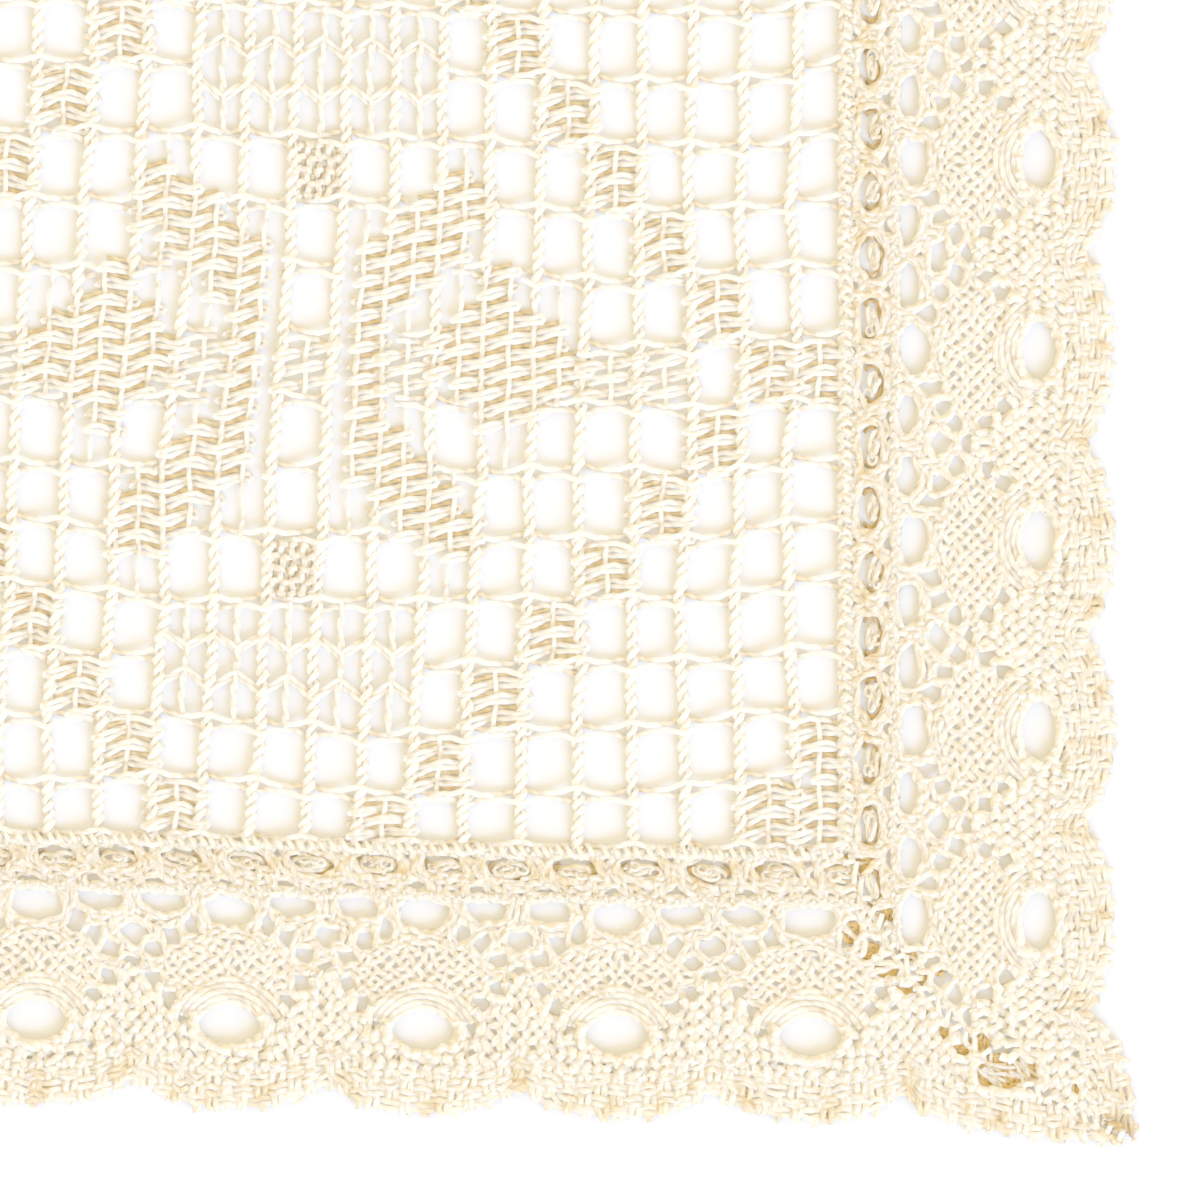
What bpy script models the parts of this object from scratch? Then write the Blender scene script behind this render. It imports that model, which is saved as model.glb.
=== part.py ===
"""A small table runner lying flat: a darned net panel inside four strips of scalloped lace edging.

Long side along +Y, underside on z = 0. The net's figures are the squares filled with cloth stitch,
and the strips meet on mitred corners.
"""

import math

import bpy

MM = 0.001

# Net panel: squares of the net, counted from the middle square of the lower figure
CELL_WIDE = 6.43 * MM
CELL_LONG = 7.91 * MM
LAST_COLUMN = 10
FIRST_ROW = -25
LAST_ROW = 7
MIDDLE_ROW = (FIRST_ROW + LAST_ROW) // 2
FIGURE_ROWS = 18
BAR_UPRIGHT = 1.65 * MM
BAR_ACROSS = 1.15 * MM
GAP_ROUNDING = 1.1 * MM
PANEL_THICK = 1.5 * MM
HALF_WIDE = (LAST_COLUMN + 0.5) * CELL_WIDE
HALF_LONG = (LAST_ROW - FIRST_ROW + 1) / 2 * CELL_LONG

# Lace edging, measured outwards from the net's edge
SEAM_GAP = 0.3 * MM
MITRE_SETBACK = 0.24 * MM
MITRE_BOW = 4.0 * MM
MITRE_STEPS = (0.2, 0.4, 0.6, 0.8)
VALLEY_OUT = 30.4 * MM
TIP_OUT = 33.8 * MM
CORNER_OUT = 36.6 * MM
EYELET_SIDES = 12
EYELET_FROM_MITRE = 4.9 * MM
EDGING_THICK = 1.8 * MM
SCALLOP_STEPS = (-0.8, -0.5, -0.18, 0.18, 0.5, 0.8)
SCALLOP_POWER = 2.6
LOBE_STEPS = (0.08, 0.25, 0.5, 0.75)

# How the cloth lies: its columns lean to and fro between the seams, and its rows run downhill
LEAN = 2.75 * MM
LEAN_MIDDLE = -80 * MM
LEAN_PERIOD = 260 * MM
LEAN_FADE = 8 * MM
DROP = 1.25 * MM
DROP_END = 1.2

# Cloth-stitch squares of one quarter of a figure: row from its middle, then the filled columns
FIGURE_CHART = (
    (0, (0, 1, 2, 3, 4, 5, 6, 7, 9, 10)),
    (1, (1, 4, 8)),
    (2, (1, 2, 7)),
    (3, (0, 2, 3, 6)),
    (4, (0, 1, 2, 5)),
    (5, (0, 1, 2, 4)),
    (6, (3,)),
    (7, (2,)),
    (8, (1,)),
    (9, (0,)),
)
# Filled squares in each corner of the panel: rows in from the end, columns in from the side
CORNER_CHART = ((0, 0), (0, 1), (1, 0))

# Strips: outward direction, direction along it, and bow of its last mitre
EDGINGS = (
    ("edging_right", (1, 0), (0, -1), 1),
    ("edging_left", (-1, 0), (0, 1), 1),
    ("edging_bottom", (0, -1), (1, 0), -1),
    ("edging_top", (0, 1), (-1, 0), -1),
)
# Lengths in mm: scallop pitch, last eyelet's distance past the net's corner, and the eyelets' own
# distance out, width and length
LONG_LACE = (23.75, 8.75, 24.4, 4.3, 7.4)
SHORT_LACE = (24.2, -4.1, 23.2, 4.9, 7.8)

CREAM = (0.90, 0.81, 0.66, 1.0)
PALE_CREAM = (0.92, 0.84, 0.70, 1.0)


def lie(x, y):
    """The place on the table of a point of the cloth as drawn square."""
    inside = max(0.0, 1 - (x / HALF_WIDE) ** 2)
    past_end = max(0.0, abs(y) - HALF_LONG)
    free = inside * max(0.0, 1 - past_end / LEAN_FADE)
    lean = LEAN * math.sin(2 * math.pi * (y - LEAN_MIDDLE) / LEAN_PERIOD) * free
    across = max(-DROP_END, min(DROP_END, x / HALF_WIDE))
    return x + lean, y - DROP * math.sin(math.pi / 2 * across)


def is_filled(row, column):
    """Whether a net square is filled, so that the panel is solid there."""
    rows_in = min(LAST_ROW - row, row - FIRST_ROW)
    if (rows_in, LAST_COLUMN - abs(column)) in CORNER_CHART:
        return True
    half = FIGURE_ROWS // 2
    from_figure = abs((row + half) % FIGURE_ROWS - half)
    return abs(column) in dict(FIGURE_CHART)[from_figure]


def windows(first, middle, last):
    """Pairs of neighbouring rows or columns, with the middle one alone."""
    yield (middle,)
    for step in range(1, last - middle, 2):
        yield middle + step, middle + step + 1
    for step in range(1, middle - first, 2):
        yield middle - step - 1, middle - step


def gaps_in_window(rows, columns):
    """The gaps of one window of squares, as (rows, columns): one if it is all open, else by column."""
    open_rows = {column: [row for row in rows if not is_filled(row, column)] for column in columns}
    if all(len(found) == len(rows) for found in open_rows.values()):
        return [(rows, columns)]
    across = [row for row in rows if all(row in found for found in open_rows.values())]
    if len(columns) > 1 and sum(len(found) for found in open_rows.values()) == 2 * len(across):
        return [((row,), columns) for row in across]
    return [(tuple(found), (column,)) for column, found in open_rows.items() if found]


def gap_outline(rows, columns):
    """The corner-rounded outline of a gap, drawn square."""
    left = (min(columns) - 0.5) * CELL_WIDE + BAR_UPRIGHT / 2
    right = (max(columns) + 0.5) * CELL_WIDE - BAR_UPRIGHT / 2
    top = (MIDDLE_ROW - min(rows) + 0.5) * CELL_LONG - BAR_ACROSS / 2
    bottom = (MIDDLE_ROW - max(rows) - 0.5) * CELL_LONG + BAR_ACROSS / 2
    r = GAP_ROUNDING
    return [
        (left + r, bottom), (right - r, bottom), (right, bottom + r), (right, top - r),
        (right - r, top), (left + r, top), (left, top - r), (left, bottom + r),
    ]


def panel_outline():
    """The net panel's rectangle, with points along each side that meet those of the strips' seams."""
    across = [HALF_WIDE * step / 6 for step in range(-6, 6)]
    along = [HALF_LONG * step / 12 for step in range(-12, 12)]
    bottom = [(x, -HALF_LONG) for x in across]
    right = [(HALF_WIDE, y) for y in along]
    top = [(-x, HALF_LONG) for x in across]
    left = [(-HALF_WIDE, -y) for y in along]
    return bottom + right + top + left


def flat_piece(name, outline, gaps, thick, colour, collection):
    """A flat sheet on z = 0 with an outline and cut-out gaps, as a filled and extruded curve."""
    curve = bpy.data.curves.new(name, "CURVE")
    curve.dimensions = "2D"
    curve.fill_mode = "BOTH"
    curve.extrude = thick / 2
    for ring in [outline] + gaps:
        spline = curve.splines.new("POLY")
        spline.points.add(len(ring) - 1)
        spline.use_cyclic_u = True
        for point, place in zip(spline.points, ring):
            x, y = lie(*place)
            point.co = (x, y, 0, 1)
    piece = bpy.data.objects.new(name, curve)
    piece.location.z = thick / 2
    curve.materials.append(cotton(name, colour))
    collection.objects.link(piece)
    return piece


def cotton(name, colour):
    """Matt cotton thread of one colour."""
    material = bpy.data.materials.new(name + "_cotton")
    material.use_nodes = True
    shader = material.node_tree.nodes["Principled BSDF"]
    shader.inputs["Base Color"].default_value = colour
    shader.inputs["Roughness"].default_value = 0.9
    shader.inputs["Metallic"].default_value = 0.0
    material.diffuse_color = colour
    return material


def net_panel(collection):
    """The darned net, its gaps cut at twice the net's pitch and closer beside the figures."""
    gaps = [
        gap_outline(*gap)
        for rows in windows(FIRST_ROW, MIDDLE_ROW, LAST_ROW)
        for columns in windows(-LAST_COLUMN, 0, LAST_COLUMN)
        for gap in gaps_in_window(rows, columns)
    ]
    return flat_piece("net_panel", panel_outline(), gaps, PANEL_THICK, PALE_CREAM, collection)


class Edging:
    """One strip of lace edging. Places on it are (along, outwards) from the middle of its seam."""

    def __init__(self, name, outward, along, last_bow):
        self.name = name
        self.outward = outward
        self.along = along
        self.last_bow = last_bow
        upright = outward[0] != 0
        self.edge = HALF_WIDE if upright else HALF_LONG
        self.half = HALF_LONG if upright else HALF_WIDE
        self.seam_steps = 24 if upright else 12
        lace = [length * MM for length in (LONG_LACE if upright else SHORT_LACE)]
        self.pitch, past_corner, self.eyelet_out, self.eyelet_wide, self.eyelet_long = lace
        last = self.half + past_corner
        count = int((last + self.half + self.eyelet_out - EYELET_FROM_MITRE) / self.pitch) + 1
        self.eyelets = [last - self.pitch * step for step in range(count)][::-1]

    def placed(self, ring):
        """A ring of places on the strip as points of the cloth."""
        return [
            (
                self.along[0] * s + self.outward[0] * (self.edge + t),
                self.along[1] * s + self.outward[1] * (self.edge + t),
            )
            for s, t in ring
        ]

    def mitre(self, bow):
        """The mitre at the strip's last corner, from the seam outwards. It bows towards one strip."""
        places = [(self.half + SEAM_GAP - MITRE_SETBACK, SEAM_GAP)]
        for share in MITRE_STEPS:
            out = CORNER_OUT * share
            aside = bow * MITRE_BOW * math.sin(math.pi * share)
            places.append((self.half + out + aside - MITRE_SETBACK, out - aside))
        places.append((self.half + CORNER_OUT - MITRE_SETBACK, CORNER_OUT))
        return places

    def lobe(self, valley):
        """The outer edge's points between the last valley and the mitre's outer end."""
        end = self.half + CORNER_OUT - MITRE_SETBACK
        return [
            (
                valley + (end - valley) * share,
                VALLEY_OUT + (CORNER_OUT - VALLEY_OUT) * math.sqrt(1 - (1 - share) ** 2),
            )
            for share in LOBE_STEPS
        ]

    def scallop(self, eyelet):
        """The outer edge's points over one eyelet, from its valley on."""
        places = [(eyelet - self.pitch / 2, VALLEY_OUT)]
        for step in SCALLOP_STEPS:
            rise = (TIP_OUT - VALLEY_OUT) * (1 - abs(step) ** SCALLOP_POWER)
            places.append((eyelet + step * self.pitch / 2, VALLEY_OUT + rise))
        return places

    def outline(self):
        """The strip's outline: seam, first mitre, first lobe, scallops, last lobe and last mitre.

        It starts on a corner, because the seam's own points lie in a line.
        """
        seam = [
            (self.half - 2 * self.half * step / self.seam_steps, SEAM_GAP)
            for step in range(1, self.seam_steps)
        ]
        first_mitre = [(-s, t) for s, t in self.mitre(0)]
        first_lobe = [(-s, t) for s, t in self.lobe(self.pitch / 2 - self.eyelets[0])[::-1]]
        last_valley = self.eyelets[-1] + self.pitch / 2
        scallops = [place for eyelet in self.eyelets for place in self.scallop(eyelet)]
        corner, *last_mitre = self.mitre(self.last_bow)
        return (
            [corner] + seam + first_mitre + first_lobe + scallops + [(last_valley, VALLEY_OUT)]
            + self.lobe(last_valley) + last_mitre[::-1]
        )

    def eyelet(self, middle):
        """An oval eyelet, its long side along the strip."""
        turns = [2 * math.pi * side / EYELET_SIDES for side in range(EYELET_SIDES)]
        return [
            (
                middle + self.eyelet_long / 2 * math.cos(turn),
                self.eyelet_out + self.eyelet_wide / 2 * math.sin(turn),
            )
            for turn in turns
        ]

    def build(self, collection):
        """The strip as one flat piece."""
        gaps = [self.placed(self.eyelet(middle)) for middle in self.eyelets]
        return flat_piece(self.name, self.placed(self.outline()), gaps, EDGING_THICK, CREAM, collection)


def main():
    for old in list(bpy.data.objects):
        bpy.data.objects.remove(old, do_unlink=True)
    collection = bpy.data.collections.new("crochet_table_runner")
    bpy.context.scene.collection.children.link(collection)
    runner = bpy.data.objects.new("table_runner", None)
    collection.objects.link(runner)
    pieces = [net_panel(collection)]
    pieces += [Edging(*row).build(collection) for row in EDGINGS]
    for piece in pieces:
        piece.parent = runner


main()
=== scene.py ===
"""A small table runner of darned net with scalloped lace edging, laid out thread by thread."""

import logging
import math
from dataclasses import dataclass, field
from enum import Enum
from math import pi, tau
from typing import Callable

import bmesh
import bpy
import numpy as np
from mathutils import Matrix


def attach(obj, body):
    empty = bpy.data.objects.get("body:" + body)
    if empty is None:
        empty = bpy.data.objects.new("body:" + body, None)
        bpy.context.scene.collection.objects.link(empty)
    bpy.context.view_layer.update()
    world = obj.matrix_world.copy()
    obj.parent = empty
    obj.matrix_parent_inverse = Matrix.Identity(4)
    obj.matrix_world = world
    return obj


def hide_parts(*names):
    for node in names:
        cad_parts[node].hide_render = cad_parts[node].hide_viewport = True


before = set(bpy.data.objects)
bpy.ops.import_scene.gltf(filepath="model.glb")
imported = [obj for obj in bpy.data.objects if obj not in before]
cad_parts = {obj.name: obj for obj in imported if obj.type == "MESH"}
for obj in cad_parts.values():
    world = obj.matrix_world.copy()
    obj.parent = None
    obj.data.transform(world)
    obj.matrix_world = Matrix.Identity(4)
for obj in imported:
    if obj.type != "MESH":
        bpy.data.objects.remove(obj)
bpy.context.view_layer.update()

LOG = logging.getLogger("table_runner")
MM = 0.001
UNIT = 0.125 * MM  # threads and lace are charted in eighths of a millimetre
Line = np.ndarray
Ring = list[tuple[float, float]]
Colour = tuple[float, float, float]
Row = tuple[float, ...]


class End(Enum):
    """The two ends of an edging strip."""

    FIRST = -1
    LAST = 1


def linked(name: str, data: bpy.types.ID) -> bpy.types.Object:
    """Add an object to the scene.

    Args:
        name: Its name.
        data: Its data.

    Returns:
        The object.
    """
    thing = bpy.data.objects.new(name, data)
    bpy.context.scene.collection.objects.link(thing)
    return thing


# Cloth as drawn square, and how it lies
@dataclass(frozen=True)
class Lie:
    """How the cloth lies: columns lean to and fro between the seams and rows run downhill."""

    half_wide: float = 10.5 * 6.43 * MM
    half_long: float = 16.5 * 7.91 * MM
    lean: float = 2.75 * MM
    lean_middle: float = -80 * MM
    lean_period: float = 260 * MM
    lean_fade: float = 8 * MM
    drop: float = 1.25 * MM
    drop_end: float = 1.2

    def place(self, points: Line) -> Line:
        """The places on the table of points that are drawn square.

        Args:
            points: Rows of x, y, z in metres.

        Returns:
            The moved points.
        """
        x, y = points[:, 0], points[:, 1]
        inside = np.maximum(0.0, 1 - (x / self.half_wide) ** 2)
        past_end = np.maximum(0.0, np.abs(y) - self.half_long)
        free = inside * np.maximum(0.0, 1 - past_end / self.lean_fade)
        lean = self.lean * np.sin(tau * (y - self.lean_middle) / self.lean_period) * free
        across = np.clip(x / self.half_wide, -self.drop_end, self.drop_end)
        laid = points.copy()
        laid[:, 0] = x + lean
        laid[:, 1] = y - self.drop * np.sin(pi / 2 * across)
        return laid


LIE = Lie()


@dataclass
class Skein:
    """Runs of thread that are spun into one mesh of slim three-sided tubes, a flat side up."""

    name: str
    runs: list[Line] = field(default_factory=list)
    radii: list[Line] = field(default_factory=list)
    ages: list[Line] = field(default_factory=list)
    sides: int = 3

    def lay(self, points: Line, radius: float | Line, age: float | Line = 0.0) -> None:
        """Add one run of thread.

        Args:
            points: Rows of x, y, z in metres, drawn square.
            radius: Thread radius in metres, one for the run or one a point.
            age: How brown the thread is made, by ageing and by painted shade, 0 for none and about 1 for
                most, one or one a point.
        """
        if len(points) < 2:
            return
        self.runs.append(LIE.place(points))
        self.radii.append(np.broadcast_to(np.asarray(radius, dtype=float), len(points)))
        # The ages also carry painted shade: strands laid low in holes and slots are browned to stand for
        # shade
        self.ages.append(np.broadcast_to(np.asarray(age, dtype=float), len(points)))

    def spin(self, finish: bpy.types.Material) -> bpy.types.Object:
        """Spin the runs into one mesh piece.

        Args:
            finish: Material of the piece.

        Returns:
            The finished piece, with its thread length and its share of ageing and painted shade as point
            attributes.
        """
        curve = bpy.data.curves.new(self.name, "CURVE")
        curve.dimensions = "3D"
        curve.bevel_mode = "OBJECT"
        curve.bevel_object = self.profile()
        curve.use_fill_caps = True
        for run, radius in zip(self.runs, self.radii):
            spline = curve.splines.new("POLY")
            spline.points.add(len(run) - 1)
            corners = np.column_stack([run, np.ones(len(run))])
            spline.points.foreach_set("co", corners.ravel())
            spline.points.foreach_set("radius", radius)
            spline.use_smooth = True
        holder = linked(self.name + "_path", curve)
        bpy.context.view_layer.update()
        shaped = holder.evaluated_get(bpy.context.evaluated_depsgraph_get())
        mesh = bpy.data.meshes.new_from_object(shaped)
        mesh.name = self.name
        for outline in (curve.bevel_object.data, curve):
            bpy.data.curves.remove(outline)
        self.mark(mesh)
        mesh.materials.clear()
        mesh.materials.append(finish)
        return linked(self.name, mesh)

    def profile(self) -> bpy.types.Object:
        """Add the outline of a thread's cross-section.

        Returns:
            The object that holds it.
        """
        curve = bpy.data.curves.new(self.name + "_profile", "CURVE")
        ring = curve.splines.new("POLY")
        ring.points.add(self.sides - 1)
        turn = tau * (np.arange(self.sides) / self.sides + 1 / 12)
        corners = np.column_stack([np.cos(turn), np.sin(turn), 0 * turn, 0 * turn + 1])
        ring.points.foreach_set("co", corners.ravel())
        ring.use_cyclic_u = True
        return linked(curve.name, curve)

    def mark(self, mesh: bpy.types.Mesh) -> None:
        """Store the length along each run and its share of ageing and painted shade on the mesh's points.

        Args:
            mesh: The spun mesh: points of the caps first, from the last run on, then ring after ring.
        """
        lengths = []
        for run in self.runs:
            steps = np.linalg.norm(np.diff(run, axis=0), axis=1)
            lengths.append(np.concatenate([[0.0], np.cumsum(steps)]))
        for name, values in (("along", lengths), ("age", self.ages)):
            caps = [end for value in values[::-1] for end in (value[-1], value[0])]
            layer = mesh.attributes.new(name, "FLOAT", "POINT")
            layer.data.foreach_set("value", np.repeat(np.concatenate([caps, *values]), self.sides))
        shape = bmesh.new()
        shape.from_mesh(mesh)
        bmesh.ops.remove_doubles(shape, verts=shape.verts, dist=1e-7)
        shape.to_mesh(mesh)
        shape.free()


# Small helpers for charted threads
def eased(values: Line, place: Line) -> Line:
    """Values between knots, eased from each to the next.

    Args:
        values: One value a knot.
        place: Where values are wanted, counted in knots.

    Returns:
        One value a place.
    """
    left = np.minimum(place.astype(int), len(values) - 2)
    share = place - left
    ease = share * share * (3 - 2 * share)
    return values[left] * (1 - ease) + values[left + 1] * ease


def charted(chart: tuple[Row, ...], rows: Row, columns: Row, row: Line, column: Line) -> Line:
    """Values between those of a small chart.

    Args:
        chart: One line of values a row.
        rows: The rows' places, rising.
        columns: The columns' places, rising.
        row: Where values are wanted, among the rows.
        column: Where values are wanted, among the columns.

    Returns:
        One value a place.
    """
    across = np.array([np.interp(column, columns, line) for line in chart])
    place = np.interp(row, rows, np.arange(len(rows)))
    low = np.minimum(place.astype(int), len(rows) - 2)
    here = np.arange(len(place))
    return across[low, here] + (across[low + 1, here] - across[low, here]) * (place - low)


def within(x: Line, y: Line, ring: Ring) -> Line:
    """Whether points lie in a polygon.

    Args:
        x: First coordinates.
        y: Second coordinates.
        ring: The polygon's corners.

    Returns:
        One truth value a point.
    """
    inside = np.zeros(np.shape(x), dtype=bool)
    for (ax, ay), (bx, by) in zip(ring, ring[1:] + ring[:1]):
        if ay == by:
            continue
        crosses = (ay > y) != (by > y)
        inside ^= crosses & (x < (bx - ax) * (y - ay) / (by - ay) + ax)
    return inside


def stretches(mask: Line, least: int = 2) -> list[slice]:
    """The unbroken stretches of a mask that have at least so many values, one slice each."""
    edges = np.flatnonzero(np.diff(np.concatenate([[0], mask.astype(int), [0]])))
    return [slice(a, b) for a, b in zip(edges[::2], edges[1::2]) if b - a >= least]


@dataclass
class NetPanel:
    """The darned net: twisted upright bars, paired crosswise threads and cloth-stitch figures."""

    cell_wide: float = 6.43 * MM
    cell_long: float = 7.91 * MM
    columns: int = 21
    rows: int = 33
    first_row: int = -25
    middle_row: int = -9
    figure_rows: tuple[int, ...] = (0, -18)
    bar_radius: float = 3.7 * UNIT
    bar_twist: float = 4.1 * UNIT
    pair_radius: float = 3.1 * UNIT
    weft_radius: float = 2.8 * UNIT
    warp_radius: float = 2.7 * UNIT
    fine_radius: float = 2.6 * UNIT
    # Radius of the low strands under the cloth stitch's slots, which are painted shade
    shade_strand_radius: float = 3.0 * UNIT
    cross_radius: float = 3.3 * UNIT
    lift: float = 6.6 * UNIT
    # Height of the low strands that are painted shade under the cloth stitch and the crosses
    low: float = 2.8 * UNIT
    turns: float = 2.5
    bar_steps: int = 12
    seed: int = 41

    # Mirrored parts of a figure, in squares from its middle: outlines of the cloth stitch
    petal: Ring = field(default_factory=lambda: [
        (0.62, 0.0), (0.6, -1.6), (1.75, -2.35), (2.4, -2.9), (3.5, -2.98), (3.52, -2.1), (2.95, -1.62),
        (2.4, -1.2), (1.8, -0.85), (1.6, 0.0),
    ])
    rhomb: Ring = field(default_factory=lambda: [
        (2.3, 0.0), (2.35, 0.1), (3.2, 0.65), (3.55, 1.15), (4.2, 1.15), (4.55, 0.65), (5.5, 0.42),
        (5.6, 0.0), (5.5, -0.55), (4.75, -1.0), (4.2, -1.2), (3.95, -1.8), (3.55, -1.8), (3.3, -1.0),
        (2.7, -0.7), (2.3, -0.3),
    ])
    stair: tuple[tuple[int, int], ...] = (
        (8, 1), (7, 2), (6, 3), (5, 4), (4, 5), (3, 6), (2, 7), (1, 8),
    )

    # How the worked net strays from an even grid, in units: charted every second knot or so
    aside_rows: Row = (0, 2, 4, 6, 8, 10, 12, 14, 20)
    aside_columns: Row = (-10.5, -4.5, -2.5, -0.5, 1.5, 3.5, 5.5, 7.5, 9.5, 10.5)
    aside: tuple[Row, ...] = (
        (0, -8, -5, -8, -5, -3, 6, 8, 8, 0), (0, -10, -3, 0, 0, -2, 4, 3, 5, 0),
        (0, -4, 0, -2, 0, -2, 3, -3, 0, 0), (0, -5, -9, -5, 0, 0, -6, 4, -5, 0),
        (0, -2, 0, 0, -5, -5, -6, 0, 4, 0), (0, 0, 6, 0, 0, -7, -7, -9, -3, 0),
        (0, 6, 6, 0, -5, -9, -6, -8, 4, 0), (0, 6, 5, 5, -5, -11, -5, -6, 5, 0),
        (0, 0, 0, 0, 0, 0, 0, 0, 0, 0),
    )
    drop_rows: Row = (*range(14), 20)
    drop_columns: Row = (-10.5, -4.7, -2.4, 1.7, 3.8, 6.2, 8.1, 9.1, 10.0)
    drops: tuple[Row, ...] = (
        (0, 0, 0, 0, 0, 0, 0, 0, 0), (0, 16, 3, 17, 15, 12, -3, -11, -6), (0, 10, 3, 21, 15, 8, -1, -11, -9),
        (0, 8, 9, 18, 12, 6, 2, -6, -13), (0, 7, 17, 12, 9, 4, 6, -7, -17), (0, 6, 14, 10, 12, 8, 7, -6, -12),
        (0, 11, 8, 6, 8, 5, 3, -4, -11), (0, 7, 4, 0, 4, 0, 4, -3, -3), (0, 7, 2, 0, 0, 9, -3, -4, -6),
        (0, 5, 0, -5, -4, 4, -5, -11, -13), (0, 1, -3, -5, -3, 0, -9, -9, -18),
        (0, -5, -7, -8, -3, -7, -8, -9, -22), (0, -12, -12, -12, -7, -8, -4, -13, -26),
        (0, -12, -12, -10, -9, -9, -12, -16, -28), (0, 0, 0, 0, 0, 0, 0, 0, 0),
    )

    def __post_init__(self) -> None:
        """Draw the knots' small shifts and the bars' phases, and chart the cloth stitch."""
        self.skein = Skein("net_bars")
        self.draw = np.random.default_rng(self.seed).uniform
        shape = (self.columns + 1, self.rows + 1)
        self.shift_x = self.draw(-1.8, 1.8, shape) * UNIT
        self.shift_y = self.draw(-2.6, 2.6, shape) * UNIT
        self.shift_x[[0, -1], :] = 0
        self.shift_y[:, [0, -1]] = 0
        self.phases = self.draw(0, tau, self.columns + 1)
        self.patches = self.chart()

    def put(self, points: Line, radius: float | Line, age: float | Line = 0.0) -> None:
        """Lay a run of thread, strayed from the even grid as the worked net is.

        Args:
            points: Rows of x, y, z in metres, drawn square.
            radius: Thread radius in metres, one for the run or one a point.
            age: How brown the thread is made, by ageing and by painted shade.
        """
        column = points[:, 0] / self.cell_wide
        row = (points[:, 1] + LIE.half_long) / self.cell_long
        strayed = points.copy()
        strayed[:, 0] += charted(self.aside, self.aside_rows, self.aside_columns, row, column) * UNIT
        strayed[:, 1] -= charted(self.drops, self.drop_rows, self.drop_columns, row, column) * UNIT
        self.skein.lay(strayed, radius, age)

    def square(self, column: float, row: float) -> tuple[float, float]:
        """The place, drawn square, of a column and row counted from the lower figure's middle."""
        return column * self.cell_wide, (self.middle_row - row) * self.cell_long

    def chart(self) -> list[Ring]:
        """Chart the outlines of all cloth stitch on the panel.

        Returns:
            One ring a patch, in metres.
        """
        rings = []
        for middle in self.figure_rows:
            for side in (-1, 1):
                for up in (-1, 1):
                    rings.append([(side * u, middle + up * v) for u, v in self.petal])
                    rings += [self.cell(side * c, middle + up * r) for c, r in self.stair]
                rings.append([(side * u, middle + v) for u, v in self.rhomb])
                rings.append(self.cell(side * 9, middle))
                rings.append(self.cell(side * 10, middle))
        rings.append(self.cell(0, self.middle_row))
        last_row = self.first_row + self.rows - 1
        for row, inward in ((self.first_row, 1), (last_row, -1)):
            for side in (-1, 1):
                rings += [self.cell(side * 10, row), self.cell(side * 9, row)]
                rings.append(self.cell(side * 10, row + inward))
        lowest = self.first_row - 0.5
        highest = last_row + 0.5
        inside = [ring for ring in rings if all(lowest <= v <= highest for _, v in ring)]
        return [[self.square(u, v) for u, v in ring] for ring in inside]

    @staticmethod
    def cell(column: int, row: int) -> Ring:
        """The outline of one square."""
        left, low = column - 0.5, row - 0.5
        return [(left, low), (left + 1, low), (left + 1, low + 1), (left, low + 1)]

    def filled(self, x: Line, y: Line) -> Line:
        """Whether points, in metres, lie in cloth stitch."""
        return np.any([within(x, y, ring) for ring in self.patches], axis=0)

    def bars(self) -> None:
        """Lay the upright bars, each of two strands twisted together."""
        rows = np.arange(self.rows * self.bar_steps + 1) / self.bar_steps
        y = LIE.half_long - rows * self.cell_long
        for bar in range(self.columns + 1):
            x = -LIE.half_wide + bar * self.cell_wide + eased(self.shift_x[bar], rows)
            full = self.filled(x - 2 * UNIT, y) & self.filled(x + 2 * UNIT, y)
            twist = np.where(full, 0.3, 1.0) * self.bar_twist
            uneven = 1 + 0.16 * np.sin(5.3 * rows * pi + 2 * self.phases[bar])
            radius = np.where(full, 0.7, uneven) * self.bar_radius
            turn = tau * self.turns * rows + self.phases[bar]
            for strand in (0, pi):
                points = np.column_stack([
                    x + twist * np.cos(turn + strand), y, self.lift + 0.62 * twist * np.sin(turn + strand),
                ])
                self.put(points, radius)

    def crosses(self) -> None:
        """Lay the crosswise threads in pairs that part round each bar."""
        shares = np.array([0.0, 0.14, 0.3, 0.7, 0.86])
        across = (np.arange(self.columns)[:, None] + shares[None, :]).ravel()
        across = np.append(across, self.columns)
        from_bar = np.abs(across - np.round(across)) * self.cell_wide
        splay = 2.5 * UNIT + 5.6 * UNIT * np.exp(-((from_bar / (10.5 * UNIT)) ** 2))
        x = -LIE.half_wide + across * self.cell_wide
        for row in range(self.rows + 1):
            y = LIE.half_long - row * self.cell_long + eased(self.shift_y[:, row], across)
            closed = self.filled(x, y + 9 * UNIT) & self.filled(x, y - 9 * UNIT)
            for side in (-1, 1):
                z = self.lift + side * 3.4 * UNIT * np.cos(pi * across + pi * row)
                points = np.column_stack([x, y + side * splay, z])
                for stretch in stretches(~closed & ~self.fine_zone(x, y)):
                    self.put(points[stretch], self.pair_radius)

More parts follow.
